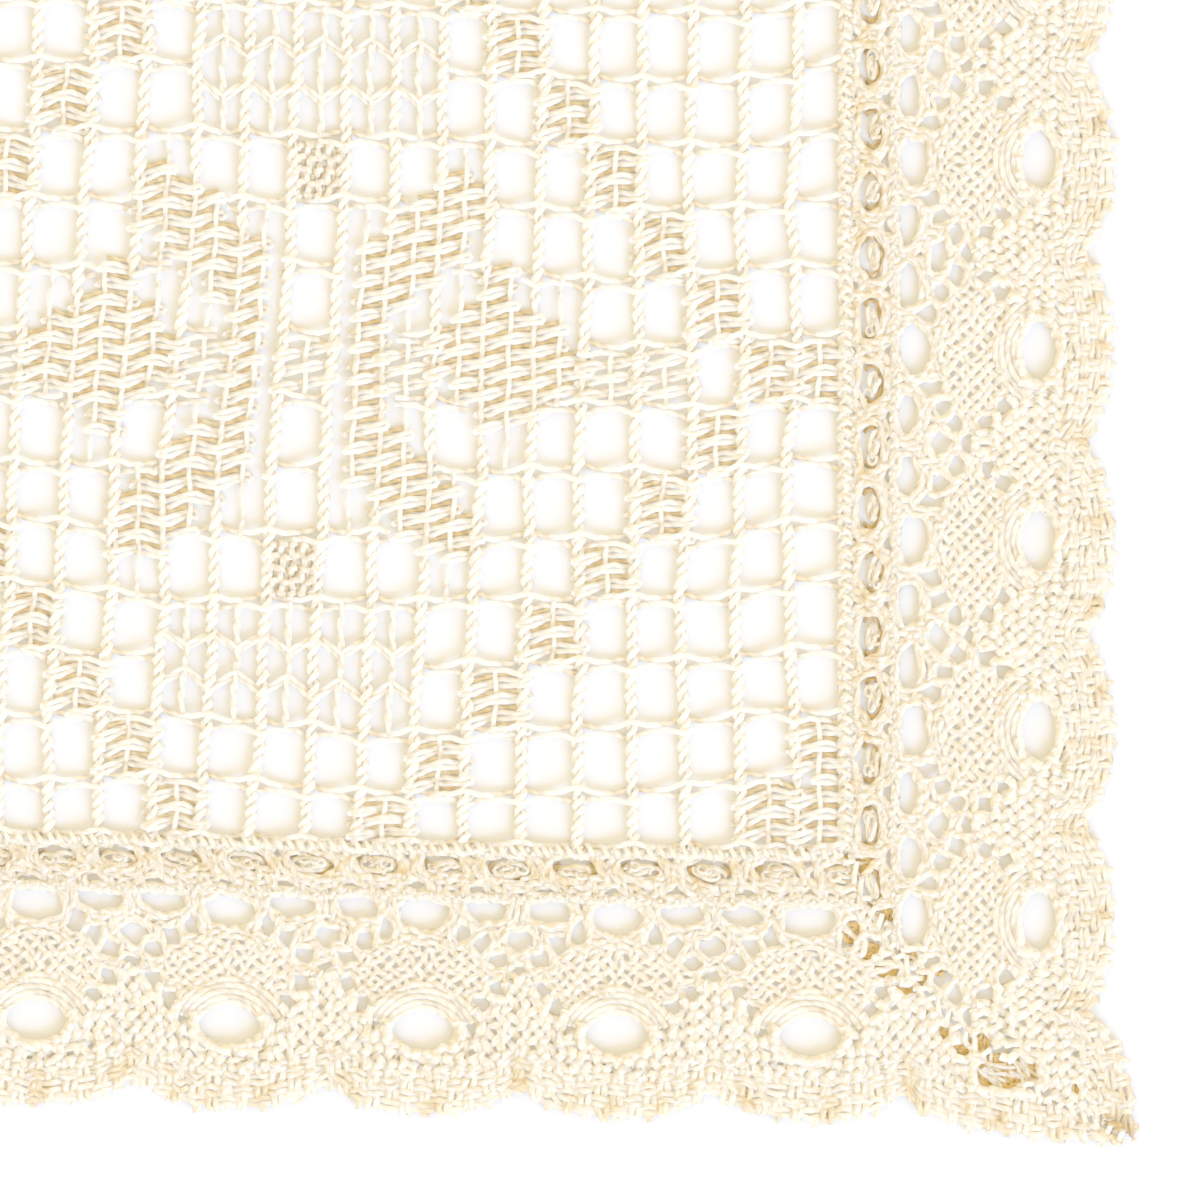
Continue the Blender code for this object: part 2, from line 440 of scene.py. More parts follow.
    def darn(self) -> None:
        """Fill the charted outlines with cloth stitch: doubled wefts over and under slim warps."""
        step = self.cell_wide / 8
        pitch = self.cell_long / 4
        for ring in self.patches:
            xs = [x for x, _ in ring]
            ys = [y for _, y in ring]
            middle_x = (min(xs) + max(xs)) / 2
            slant = 0.25 if middle_x > 0 else 0.08
            if max(xs) - min(xs) < 1.2 * self.cell_wide:
                slant *= 0.6
            base = round(min(ys) / pitch) - 3
            last = base + int((max(ys) - min(ys)) / pitch) + 6
            warp = np.arange(round(min(xs) / step / 4) - 1, round(max(xs) / step / 4) + 2)
            spans = {column: [] for column in warp}
            zigzag = 4 * UNIT * (1 - slant / 0.31)
            for number in range(base, last):
                at = warp * 4 * step
                level = number * pitch + slant * (at - middle_x)
                held = within(at + 0.1 * UNIT, level, ring) | within(at - 0.1 * UNIT, level, ring)
                for stretch in stretches(held):
                    k = np.arange(warp[stretch][0] * 4 - 1, warp[stretch][-1] * 4 + 2)
                    x = k * step
                    y = number * pitch + slant * (x - middle_x) + zigzag * np.cos(pi * k / 4)
                    self.weft(x, y + self.draw(-0.8, 0.8) * UNIT, k, number)
                    # Painted shade: a low tan strand under each slot between the wefts stands for the shaded
                    # table seen through it
                    shade_strand = np.column_stack([x[1::4], y[1::4] + pitch / 2, 0 * x[1::4] + self.low])
                    self.put(shade_strand, self.shade_strand_radius, self.draw(-0.1, 0.3))
                    for column in warp[stretch]:
                        spans[column].append(number * pitch + slant * (column * 4 * step - middle_x))
            for column, levels in spans.items():
                if levels and column % 2 == 0:
                    self.warp(column * 4 * step, min(levels), max(levels), int(column) // 2)

    def weft(self, x: Line, y: Line, k: Line, number: int) -> None:
        """Lay one doubled weft that turns back round its last warp.

        Args:
            x: Places across, in metres.
            y: Places along, in metres.
            k: Numbers of the places, four from a warp to the next.
            number: The weft's number, which sets whether it starts over or under.
        """
        z = self.lift + 2.4 * UNIT * np.cos(pi * (k / 4 + number))
        apart = np.array([2.7, 3.5, 2.8, 2.0])[k % 4] * UNIT
        upper = np.column_stack([x, y + apart, z])
        lower = np.column_stack([x, y - apart, z])[::-1]
        turns = ((0, -2.4), (-1, 2.4))
        ends = [np.array([[x[end] + past * UNIT, y[end], z[end]]]) for end, past in turns]
        self.put(np.concatenate([ends[0], upper, ends[1], lower, ends[0]]), self.weft_radius)

    def warp(self, x: float, low: float, high: float, column: int) -> None:
        """Lay one slim warp halfway between two bars, on to the next crosswise threads.

        Args:
            x: Place across, in metres.
            low: Lowest weft that it holds.
            high: Highest weft that it holds.
            column: The warp's number, which sets whether it starts over or under.
        """
        rows = self.cell_long
        bottom = math.floor((low - LIE.half_long) / rows + 0.15) * rows + LIE.half_long
        top = math.ceil((high - LIE.half_long) / rows - 0.15) * rows + LIE.half_long
        step = rows / 8
        count = max(2, round((top - bottom) / step))
        y = bottom + (top - bottom) * np.arange(count + 1) / count
        y = np.clip(y, -LIE.half_long, LIE.half_long)
        k = (y - bottom) / step
        z = self.lift - 2.0 * UNIT * np.cos(pi * (k / 2 + column))
        sway = 1.2 * UNIT * np.sin(k * 0.9 + column)
        self.put(np.column_stack([x + sway, y, z]), self.warp_radius)

    def fill_out(self) -> None:
        """Work the barred squares, the fine mesh and the small crosses of each figure."""
        for middle in self.figure_rows:
            for column in (-7, -6, -2, 0, 2, 6, 7):
                self.barred(column, middle)
            for side in (-1, 1):
                for row in (4, 5):
                    for column in range(-2, 3):
                        self.fine(column, middle + side * row)
                for level in (3.5 + 2 / 3, 3.5 + 4 / 3):
                    self.zigzag(middle + side * level, level > 4.5)
                self.cross(middle + side * 3)

    def fine_zone(self, x: Line, y: Line) -> Line:
        """Whether points lie inside a fine mesh, where the net's own crosswise threads end.

        Args:
            x: Places across, in metres.
            y: Places along, in metres.

        Returns:
            One truth value a point.
        """
        row = self.middle_row - y / self.cell_long
        from_fine = [np.abs(np.abs(row - middle) - 4.5) for middle in self.figure_rows]
        return (np.min(from_fine, axis=0) < 0.3) & (np.abs(x) / self.cell_wide < 2.52)

    def zigzag(self, row: float, even: bool) -> None:
        """Lay the doubled zigzag thread that makes the fine mesh staggered.

        Args:
            row: Its row of squares, part rows too.
            even: Whether it starts with its high bends.
        """
        k = np.arange(-20, 21)
        swing = np.interp(k % 16, [0, 4, 8, 12, 16], [1, -1, 1, -1, 1]) * (1 if even else -1)
        x = k * self.cell_wide / 8
        y = self.square(0, row)[1] + 9 * UNIT * swing
        for side in (-1, 1):
            z = self.lift + 2.2 * side * UNIT * np.cos(pi * k / 4)
            self.put(np.column_stack([x, y + side * 2.6 * UNIT, z]), self.fine_radius)

    def barred(self, column: int, row: int) -> None:
        """Lay slanting doubled threads across a square, and a warp down its middle.

        Args:
            column: The square's column.
            row: The square's row.
        """
        middle_x, middle_y = self.square(column, row)
        k = np.arange(-5, 6)
        x = middle_x + k * self.cell_wide / 8
        for number in (-1, 0, 1):
            y = middle_y + number * 16 * UNIT + 0.2 * (x - middle_x)
            self.weft(x, y, k + 4 * column, number)
        self.warp(middle_x, middle_y - 4 * UNIT, middle_y + 4 * UNIT, column)

    def fine(self, column: int, row: int) -> None:
        """Lay a slim twisted bar down the middle of a square.

        Args:
            column: The square's column.
            row: The square's row.
        """
        middle_x, middle_y = self.square(column, row)
        share = np.linspace(-0.5, 0.5, 13)
        y = middle_y + share * self.cell_long
        for strand in (0, pi):
            turn = tau * 1.5 * share + strand + column
            x = middle_x + 1.8 * UNIT * np.cos(turn) + 1.5 * UNIT * np.sin(4 * share + row)
            z = self.lift + 1.8 * UNIT * np.sin(turn)
            self.put(np.column_stack([x, y, z]), self.fine_radius)

    def cross(self, row: int) -> None:
        """Work a small dense cross in the middle column's square of a row, over low strands of painted shade.

        Args:
            row: The square's row.
        """
        middle_x, middle_y = self.square(0, row)
        k = np.arange(-8, 9)
        bend = 1.5 * UNIT * np.sin(k * 0.9)
        for number in (-2, -1, 0, 1, 2):
            half = (26 - 3 * abs(number)) / 8 * UNIT
            z = self.lift + 2.6 * UNIT * np.cos(pi * (k / 2 + number))
            along = np.column_stack([middle_x + number * 10.5 * UNIT + bend, middle_y + 1.15 * k * half, z])
            across = np.column_stack([middle_x + k * half, middle_y + number * 12 * UNIT + bend, z[::-1]])
            self.put(along, self.cross_radius, 0.2)
            self.put(across, self.cross_radius, 0.3)
            # Painted shade: low tan strands under the cross stand for the shaded table seen through its gaps
            low = along[::4] + [5.2 * UNIT, 0, 0]
            low[:, 2] = self.low
            self.put(low, self.cross_radius + 0.1 * UNIT, -0.2)

    def build(self, finish: bpy.types.Material) -> None:
        """Build the panel's pieces and put them in place of the solid.

        Args:
            finish: Material of the pieces.
        """
        self.bars()
        self.crosses()
        net = self.skein.spin(finish)
        self.skein = Skein("net_darning")
        self.darn()
        self.fill_out()
        cloth = self.skein.spin(finish)
        for piece in (net, cloth):
            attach(piece, "root")
            report(piece)
        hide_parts("net_panel")


# Lace edging
@dataclass(frozen=True)
class Opening:
    """An oval opening that threads are drawn aside round, in units on the strip."""

    s: float
    t: float
    half_s: float
    half_t: float


def drawn_aside(s: Line, t: Line, way: tuple[float, float], openings: list[Opening]) -> tuple[Line, Line]:
    """Move the points of straight threads sideways so that they pass round openings.

    Args:
        s: Places along the strip.
        t: Places outwards.
        way: Unit direction of the threads.
        openings: The openings, half-sizes up to the threads' middles.

    Returns:
        The moved s and t.
    """
    along_s, along_t = way
    side_s, side_t = -along_t, along_s
    moved = np.zeros_like(s)
    for hole in openings:
        ds, dt = s - hole.s, t - hole.t
        size = max(hole.half_s, hole.half_t)
        near = (np.abs(ds) < 5 * size) & (np.abs(dt) < 5 * size)
        if not near.any():
            continue
        x = ds[near] * along_s + dt[near] * along_t
        d = ds[near] * side_s + dt[near] * side_t
        a = (side_s / hole.half_s) ** 2 + (side_t / hole.half_t) ** 2
        b = along_s * side_s / hole.half_s**2 + along_t * side_t / hole.half_t**2
        reach = math.sqrt(a) * hole.half_s * hole.half_t
        wide = 1 / math.sqrt(a)
        weight = np.exp(-((np.abs(x) / (1.25 * reach)) ** 6))
        rim = wide * np.exp(-((np.abs(x) / (1.12 * reach)) ** 3.2))
        tilt = -b * x / a * np.exp(-((d / (1.6 * wide)) ** 2))
        sign = np.where(d < 0, -1.0, 1.0)
        power = 2.6
        moved[near] += weight * (tilt + sign * (np.abs(d) ** power + rim**power) ** (1 / power) - d)
    return s + moved * side_s, t + moved * side_t


@dataclass
class Edging:
    """One strip of lace edging, charted as places along it (s) and outwards from its seam (t)."""

    name: str
    outward: tuple[int, int]
    along: tuple[int, int]
    last_bow: int
    pitch: float
    past_corner: float
    eyelet_out: float
    eyelet_wide: float
    eyelet_long: float
    seed: int
    valley: float = 243.2
    tip: float = 270.4
    corner: float = 292.8
    corner_eyelet: int = 192
    bow: float = 32.0
    ripple: float = 0.62
    from_mitre: float = 39.2
    charted_pitch: float = 190.0
    thread: float = 3.0
    lift: float = 7.0

    def __post_init__(self) -> None:
        """Place the eyelets from the last corner back, and draw the ripples and the openings."""
        self.upright = self.outward[0] != 0
        self.skein = Skein(self.name + "_ground")
        self.edge = (LIE.half_wide if self.upright else LIE.half_long) / UNIT
        self.half = (LIE.half_long if self.upright else LIE.half_wide) / UNIT
        last = self.half + self.past_corner
        count = int((last + self.half + self.eyelet_out - self.from_mitre) / self.pitch) + 1
        self.eyelets = [last - self.pitch * step for step in range(count)][::-1]
        self.draw = np.random.default_rng(self.seed).uniform
        self.ripples = [
            (size * math.cos(way), size * math.sin(way), *self.draw(0, tau, 2))
            for size, way in zip(self.draw(0.13, 0.36, 8), self.draw(0, pi, 8))
        ]
        self.openings = self.chart()

    def chart(self) -> list[Opening]:
        """Chart the openings of every repeat of the lace, those off its middle line on both sides.

        Returns:
            The openings between the mitres, and those beside the mitres' seams.
        """
        repeat = (
            (38, 84, 8, 9), (57, 98.5, 8, 7.5), (75, 112, 10, 6.5), (72, 143, 7, 7.5), (56, 161.5, 7.5, 8),
            (40, 177, 8, 8), (0, 70, 24, 14), (-64, 65, 20, 10), (0, 39.5, 6, 3.5), (-63.3, 39.5, 6, 3.5),
            (0, 12, 5, 2.5), (-63.3, 12, 5, 2.5), (95, 95, 13, 8.5), (95, 124.5, 10, 3.5),
        )
        found = []
        first = self.eyelets[0] - self.pitch
        long, wide = self.eyelet_long / 2 + self.thread, self.eyelet_wide / 2 + self.thread
        for step in range(len(self.eyelets) + 2):
            middle = first + step * self.pitch
            found.append(Opening(middle, self.eyelet_out, long, wide))
            for s, t, half_s, half_t in repeat:
                for sign in (1,) if s in (0, 95) else (-1, 1):
                    place = middle + sign * s * self.pitch / self.charted_pitch
                    found.append(self.uneven(place, t, half_s, half_t))
        join_out = 28.0 if self.upright else 21.0
        self.joins = [
            self.uneven(first + (step / 3 + 1 / 6) * self.pitch, join_out, 19.5, 10.0)
            for step in range(3 * len(self.eyelets) + 6)
        ]
        found = [hole for hole in found + self.joins if self.inside_mitres(hole.s, hole.t, 5)]
        return found + self.seam_holes()

    def uneven(self, s: float, t: float, half_s: float, half_t: float) -> Opening:
        """An opening, put and sized a little unevenly as worked by hand.

        Args:
            s: Its even place along the strip.
            t: Its even place outwards.
            half_s: Half its clear length.
            half_t: Half its clear width.

        Returns:
            The opening, up to its threads' middles.
        """
        jog_s, jog_t = self.draw(-1.5, 1.5, 2)
        size = self.draw(0.92, 1.08)
        return Opening(s + jog_s, t + jog_t, half_s * size + 2.8, half_t * size + 2.8)

    def seam_holes(self) -> list[Opening]:
        """Chart the holes beside each mitre's seam, and the eyelet that the seam runs through.

        Returns:
            The holes of both ends.
        """
        places = (
            (14, 3, 12, 17), (49, 6, 9, 15), (85, 10, 7, 10), (104, 8, 5, 5), (108, 25, 3, 3),
            (self.corner_eyelet, -1, 16, 31), (235, 22, 7, 2),
        )
        if not self.upright:
            places = (
                (45, 31, 9, 8), (63, 24, 8, 6), (81, 17.5, 8, 7), (100, 15, 11, 4), (122, 11, 3, 5),
                (141, 12.5, 5, 8), (160, 12, 8, 8), (self.corner_eyelet, 2, 31, 16),
            )
        self.seams = [
            Opening(*self.on_mitre(out, end, inside), half_s + 2.5, half_t + 2.5)
            for end in End for out, inside, half_s, half_t in places
        ]
        return self.seams

    def bow_of(self, end: End) -> float:
        """How far the mitre of one end bows aside."""
        return self.bow * self.last_bow if end is End.LAST else 0.0

    def on_mitre(self, out: float, end: End, inside: float) -> tuple[float, float]:
        """A place beside the mitre's seam.

        Args:
            out: How far out on the seam, in units.
            end: The strip's end.
            inside: Distance from the seam into the strip.

        Returns:
            The place's s and t.
        """
        aside = self.bow_of(end) * np.sin(pi * np.asarray(out) / self.corner)
        inward = inside * 0.707
        return end.value * (self.half + out + aside - inward), out - aside + inward

    def from_eyelet(self, s: Line) -> Line:
        """How far points are along the strip from the nearest eyelet."""
        start = self.eyelets[0] - self.pitch / 2
        return (s - start) % self.pitch - self.pitch / 2

    def fan_limit(self, s: Line) -> Line:
        """How far out the fine ground and the fans reach."""
        aside = np.abs(self.from_eyelet(s)) * self.charted_pitch / self.pitch
        return 177 - np.maximum(0, aside - 34) * 0.86

    def off_arcs(self, s: Line, t: Line) -> Line:
        """Whether points lie clear of the arcs on each eyelet's inner side."""
        ds = self.from_eyelet(s) / (self.eyelet_long / 2 + 22)
        return ds**2 + ((t - self.eyelet_out) / (self.eyelet_wide / 2 + 20)) ** 2 > 1

    def outer_edge(self, s: Line) -> Line:
        """How far out the strip reaches: scallops, and a longer lobe at each corner.

        Args:
            s: Places along the strip.

        Returns:
            The edge's place outwards, one a point.
        """
        share = np.abs(self.from_eyelet(s)) / (self.pitch / 2)
        edge = self.valley + (self.tip - self.valley) * (1 - share**2.6)
        end = self.half + self.corner
        for sign, eyelet in ((1, self.eyelets[-1]), (-1, -self.eyelets[0])):
            valley = eyelet + self.pitch / 2
            along = np.clip((sign * s - valley) / (end - valley), 0, 1)
            lobe = self.valley + (self.corner - self.valley) * np.sqrt(1 - (1 - along) ** 2)
            edge = np.where(sign * s > valley, lobe, edge)
        return edge

    def past_mitre(self, s: Line, t: Line, end: End) -> Line:
        """How far points lie past one of the strip's mitres.

        Args:
            s: Places along the strip.
            t: Places outwards.
            end: The mitre's end of the strip.

        Returns:
            One distance a point, less than 0 on the strip.
        """
        beyond = end.value * s - self.half
        share = np.clip((beyond + t) / 2 / self.corner, 0, 1)
        return (beyond - t) / 2 - self.bow_of(end) * np.sin(pi * share)

    def inside_mitres(self, s: Line, t: Line, margin: float = 1.5) -> Line:
        """Whether points lie between the strip's mitres, by a margin."""
        return np.all([self.past_mitre(s, t, end) < -margin for end in End], axis=0)

    def placed(self, s: Line, t: Line, z: Line) -> Line:
        """Places on the strip as points of the cloth, in metres."""
        x, y = (self.along[way] * s + self.outward[way] * (self.edge + t) for way in (0, 1))
        return np.column_stack([x, y, z]) * UNIT

    def worn(self, s: Line, t: Line) -> Line:
        """How tanned the thread is: in patches at the outer edge and the seam, and at the corners' tips.

        Args:
            s: Places along the strip.
            t: Places outwards.

        Returns:
            One age a point.
        """
        near = np.clip((t - self.outer_edge(s) + 45) / 30, 0, 1)
        patch = 1.3 * np.sin(s / 9 + self.seed) * np.sin(s / 31 + 0.4) + 0.5 * np.sin(t / 5 + s / 7)
        inner = 0.35 * np.clip(np.sin(s / 19 + t / 13) * np.sin(s / 7 - t / 17) - 0.3, 0, 1)
        tip = np.exp(-(((np.abs(s) - self.half - 278) ** 2 + (t - 276) ** 2) / 17**2))
        seam = 0.3 * np.exp(-(((t - 22) / 18) ** 2)) * (1 + np.sin(s / 8.3) * np.sin(t / 4 + s / 15))
        return np.clip(0.55 * near * np.clip(patch, 0, 1) + inner + seam + 1.3 * tip, 0, 1)

    def rippled(self, s: Line, t: Line) -> tuple[Line, Line]:
        """Places nudged by a few fixed waves, as handwork is never quite even.

        Args:
            s: Places along the strip.
            t: Places outwards.

        Returns:
            The moved s and t.
        """
        moved_s, moved_t = s.copy(), t.copy()
        for wave_s, wave_t, first, second in self.ripples:
            turn = wave_s * s + wave_t * t
            moved_s += self.ripple * np.sin(turn + first)
            moved_t += self.ripple * np.sin(turn + second)
        return moved_s, moved_t

    def weave(
        self, step: tuple[float, float], reach: tuple[float, float], wave: float,
        radius: float, swell: float, fits: Callable[[Line, Line], Line],
    ) -> None:
        """Lay two families of slanting threads, woven over and under each other.

        Args:
            step: From a crossing to the next, along the strip and outwards.
            reach: Innermost and outermost place of the threads.
            wave: How far threads rise and dip.
            radius: Thread radius in units.
            swell: Share by which threads are thicker where they pass over.
            fits: Function of s and t that says whether thread is laid there.
        """
        low, high = reach
        along, out = step
        count = int((high - low) / out)
        k = np.arange(4 * count + 1) / 4
        far = self.half + self.corner + high
        starts = np.round(np.arange(-far, far, 2 * along) / (2 * along)) * 2 * along
        starts += self.eyelets[0] % (2 * along)
        size = math.hypot(along, out)
        for slope in (1, -1):
            way = (slope * along / size, out / size)
            s = starts[:, None] + slope * k[None, :] * along
            t = low + k[None, :] * out + np.zeros_like(s)
            moved_s, moved_t = self.rippled(*drawn_aside(s, t, way, self.openings))
            over = slope * np.cos(pi * k)[None, :] + np.zeros_like(s)
            kept = self.needed(moved_s, moved_t)
            fit = fits(moved_s, moved_t) & self.inside_mitres(moved_s, moved_t)
            age = self.worn(moved_s, moved_t)
            for row, thick in enumerate(self.draw(0.93, 1.07, len(starts)) * radius * UNIT):
                for stretch in stretches(fit[row], 5):
                    keep = kept[row][stretch].copy()
                    keep[[0, -1]] = True
                    z = self.lift + wave * over[row]
                    points = self.placed(moved_s[row], moved_t[row], z)[stretch][keep]
                    swollen = thick * (1 + swell * over[row][stretch][keep])
                    self.skein.lay(points, swollen, age[row][stretch][keep])

    @staticmethod
    def needed(s: Line, t: Line) -> Line:
        """Which quarter steps of the threads are needed for a smooth run.

        Args:
            s: Places along the strip, one line a thread.
            t: Places outwards, the same.

        Returns:
            One truth value a point.
        """
        keep = np.zeros(s.shape, dtype=bool)
        keep[:, ::4] = True
        for line in (s, t):
            off = np.abs(line[:, 2::4] - (line[:, :-1:4] + line[:, 4::4]) / 2)
            keep[:, 2::4] |= off > 0.9
            keep[:, 1::4] |= off > 2.6
            keep[:, 3::4] |= off > 2.6
        return keep

    def trail(self, s: Line, t: Line, z: Line, radius: float, age: float | Line | None = None) -> None:
        """Lay a thread by its places on the strip, cut at the mitres.

        Args:
            s: Places along the strip.
            t: Places outwards.
            z: Heights, one or one a point.
            radius: Thread radius in units.
            age: How brown the thread is made, by ageing and by painted shade, or None for that of its places.
        """
        points = self.placed(s, t, np.broadcast_to(z, np.shape(s)))
        ages = np.broadcast_to(self.worn(s, t) if age is None else age, np.shape(s))
        for stretch in stretches(self.inside_mitres(s, t)):
            self.skein.lay(points[stretch], radius * UNIT, ages[stretch])

    def selvedge(self) -> None:
        """Lay the plaited bands that run the whole length, and the stitches that hold the net."""
        s = np.arange(-self.half - self.corner, self.half + self.corner, 5.4)
        for out, swing, period in ((4.0, 3.6, 22.0), (51.5, 3.2, 27.0)):
            for strand in range(3):
                turn = tau * (s / period + strand / 3)
                t = out + 1.4 * np.sin(s / 29 + out) + 1.1 * np.sin(s / 11) + swing * np.sin(turn)
                self.trail(s, t, self.lift + 3 * np.sin(2 * turn), 3.1)
        share = np.linspace(0, 1, 5)
        for start in np.arange(-self.half + 4, self.half - 8, 11):
            s = start + self.draw(-2, 2) + 7 * share
            t = -4 + 14 * share + self.draw(-1, 1)
            z = self.lift + 5.0 * np.sin(pi * share) - 0.5
            self.trail(s, t, z, 2.7, self.draw(0, 0.3))

    def sew_joins(self) -> None:
        """Lay the sewing in the join openings: a tanned coil low on the outer side, and loops and curls."""
        outer = np.linspace(-0.25, 1.25, 11) * pi
        turn = np.linspace(0, tau, 13)
        for hole in self.joins:
            s = hole.s + (hole.half_s - 4) * np.cos(outer)
            t = hole.t + (hole.half_t - 3.5) * np.sin(outer)
            self.trail(s, t, self.lift - 3.5 + np.sin(5 * outer), 2.3, self.draw(0.4, 0.9))
            for size in (0.3, 0.12) if self.upright else (0.5, 0.25):
                jog_s, jog_t = self.draw(-3, 3), self.draw(-1.5, 1.5)
                long = size + self.draw(0.1, 0.4)
                lean = self.draw(-0.2, 0.2) * hole.half_s * np.cos(turn)
                s = hole.s + jog_s + long * hole.half_s * np.cos(turn)
                t = hole.t + 1.5 + jog_t + size * hole.half_t * np.sin(turn) + lean
                z = self.lift + 1.5 * np.sin(2 * turn + 20 * size)
                self.trail(s, t, z, 2.6, self.draw(0, 0.45))
            for _ in range(1 if self.upright else 4):
                s = hole.s + self.draw(-0.6, 0.6) * hole.half_s
                self.curl(s, hole.t + self.draw(-0.4, 0.5) * hole.half_t)

    def curl(self, s: float, t: float) -> None:
        """Lay one loose curl of thin thread.

        Args:
            s: Its middle's place along the strip.
            t: Its middle's place outwards.
        """
        size, age = self.draw(3, 5), self.draw(0, 0.5)
        turn = self.draw(0, tau) + np.linspace(0, 1.5 * pi, 8)
        z = self.lift + self.draw(0, 3) + 1.5 * np.sin(turn)
        self.trail(s + 1.3 * size * np.cos(turn), t + size * np.sin(turn), z, 1.9, age)

    def back(self, hole: Opening) -> None:
        """Fill a hole with painted shade: brownish strands side by side, low down, that stand for the shaded
        table seen through it.

        Args:
            hole: The hole.
        """
        for at in np.arange(3 - hole.half_t, hole.half_t - 2, 4.1):
            reach = (hole.half_s - 1) * math.sqrt(1 - (at / hole.half_t) ** 2)
            s = np.linspace(-reach, reach, 3 + int(reach / 3))
            t = hole.t + at + 1.3 * np.sin(s / 2.6 + at) + self.draw(-0.08, 0.08) * s
            z = self.lift - 4.2 + 0.8 * np.cos(s / 2.1 + 2 * at)
            self.skein.lay(self.placed(hole.s + s, t, z), 2.7 * UNIT, self.draw(0.6, 1.3))

    def sew_seams(self) -> None:
        """Lay the tanned sewing in the holes beside the mitres' seams over painted shade in each hole, and
        loose ends in the larger.
        """
        turn = np.linspace(0, tau, 12)
        for end in End:
            # Painted shade: low tan strands in one more hole on each mitre
            self.back(Opening(*self.on_mitre(165, end, 6), 12, 12))
        for hole in self.seams:
            # Painted shade under the sewing: low tan strands filling the hole
            self.back(hole)
            s = hole.s + (hole.half_s - 1.5) * np.cos(turn)
            t = hole.t + (hole.half_t - 1.5) * np.sin(turn)
            self.trail(s, t, self.lift - 3.5 + np.sin(3 * turn), 3.0, 1.1)
            for _ in range(round((hole.half_s * hole.half_t - 90) / 50)):
                self.loose_end(hole)

    def loose_end(self, hole: Opening) -> None:
        """Lay one bent end of thread across a hole.

        Args:
            hole: The hole.
        """
        way = self.draw(0.4, 1.4) + np.linspace(0, self.draw(-0.9, 0.9), 6)
        at = self.draw(-0.7, 0.7, 2)
        step = 0.28 * min(hole.half_s, hole.half_t)
        s = hole.s + at[0] * hole.half_s + step * (np.cumsum(np.cos(way)) - 3 * np.cos(way[2]))
        t = hole.t + at[1] * hole.half_t + step * (np.cumsum(np.sin(way)) - 3 * np.sin(way[2]))
        z = self.lift - 1.0 + np.sin(way * 3)
        self.skein.lay(self.placed(s, t, z), 1.9 * UNIT, self.draw(-0.2, 0.7))

    def eyelet_rims(self) -> None:
        """Lay the strands round each pointed eyelet, the arcs on its inner side, and the fan's rim."""
        turn = np.linspace(0, tau, 25)
        inner = np.linspace(1.1 * pi, 1.9 * pi, 14)
        brim = np.linspace(-33, 33, 15) * self.pitch / self.charted_pitch
        for middle in self.eyelets:
            for ring, radius in enumerate((3.1, 3.0, 3.1, 3.1, 3.0)):
                places = inner if ring > 1 else turn
                far = 2.5 + 6.0 * ring
                swell = np.abs(np.sin(places)) ** 0.35
                s = middle + (self.eyelet_long / 2 + far) * np.cos(places)
                t = self.eyelet_out + (self.eyelet_wide / 2 + far) * np.sin(places) * swell
                z = self.lift + (ring > 1) + 1.5 * np.cos((4 + ring) * places + pi * ring)
                self.trail(s, t, z, radius)
            for ring in range(2):
                t = 90.5 + 6 * ring + brim**2 / 90
                z = self.lift + 1 + 1.5 * np.cos(brim / 2.3 + pi * ring)
                self.trail(middle + brim, t, z, 2.8)

    def rim(self) -> None:
        """Lay the basket-woven rim: doubled spokes looped at the edge, and doubled strands along it."""
        spacing = self.pitch / 12
        inset = np.array([46.0, 40.5, 35, 29.5, 24, 18.5, 13, 7.5, 3.0])
        first = self.eyelets[0] % spacing
        count = int((self.half + self.corner) / spacing)
        for number in range(-count, count + 1):
            at = first + number * spacing + self.draw(-1.5, 1.5)
            knob = self.draw(0, 3) if number % 2 else self.draw(-3, 0)
            bend = self.draw(-3.5, 3.5) * (1 - inset / 46)
            over = np.cos(pi * ((inset - 7.5) / 11 + number))
            spread = 2.9 + 0.7 * over
            tips = at + bend[-1] + [-2.0, 2.0]
            s = np.concatenate([at - spread + bend, tips, (at + spread + bend)[::-1]])
            t_in = np.concatenate([inset, [-knob, -knob], inset[::-1]])
            over = np.concatenate([over, [0.0, 0.0], over[::-1]])
            t = self.outer_edge(np.full_like(s, at)) - t_in
            self.trail(*self.rippled(s, t), self.lift + 2.2 * over, 3.5)
        s = np.arange(-self.half - self.corner, self.half + self.corner, spacing / 2)
        for row, level in enumerate((7.5, 18.5, 29.5, 40.5)):
            over = -np.cos(pi * ((s - first) / spacing + row))
            for side in (-1, 1):
                t = self.outer_edge(s) - level - side * (2.7 + 0.7 * over)
                self.trail(*self.rippled(s, t), self.lift + 2.2 * over, 3.3)

    def mitres(self) -> None:
        """Lay a strand along the short strips' mitres, and from the long strips stitches across them."""
        for end in End:
            if self.upright:
                self.whip(end)
                continue
            inner = np.arange(4, self.corner_eyelet - 14, 5.5)
            outer = np.arange(self.corner_eyelet + 22, self.corner - 6, 5.5)
            for out in (inner, outer):
                s, t = self.on_mitre(out, end, 4.0)
                z = self.lift + 1.5 * np.cos(tau * out / 22)
                self.trail(s + 1.5 * np.sin(out / 7), t, z, 3.1)

    def whip(self, end: End) -> None:
        """Lay the whip stitches across one mitre's seam, clear of the eyelet it runs through.

        Args:
            end: The mitre's end of the strip.
        """
        share = np.linspace(-1, 1, 5)
        for out in np.arange(8, self.corner - 8, 9.1):
            lean, width = self.draw(-5, 7), self.draw(4.5, 7.5)
            if abs(out - self.corner_eyelet) < 16:
                continue
            places = [self.on_mitre(out + lean * at, end, -width * at) for at in share]
            s, t = np.array(places).T
            z = self.lift + 2.5 * (1 - share**2) + 0.5
            self.skein.lay(self.placed(s, t, z), 2.9 * UNIT, self.draw(0.0, 0.15))

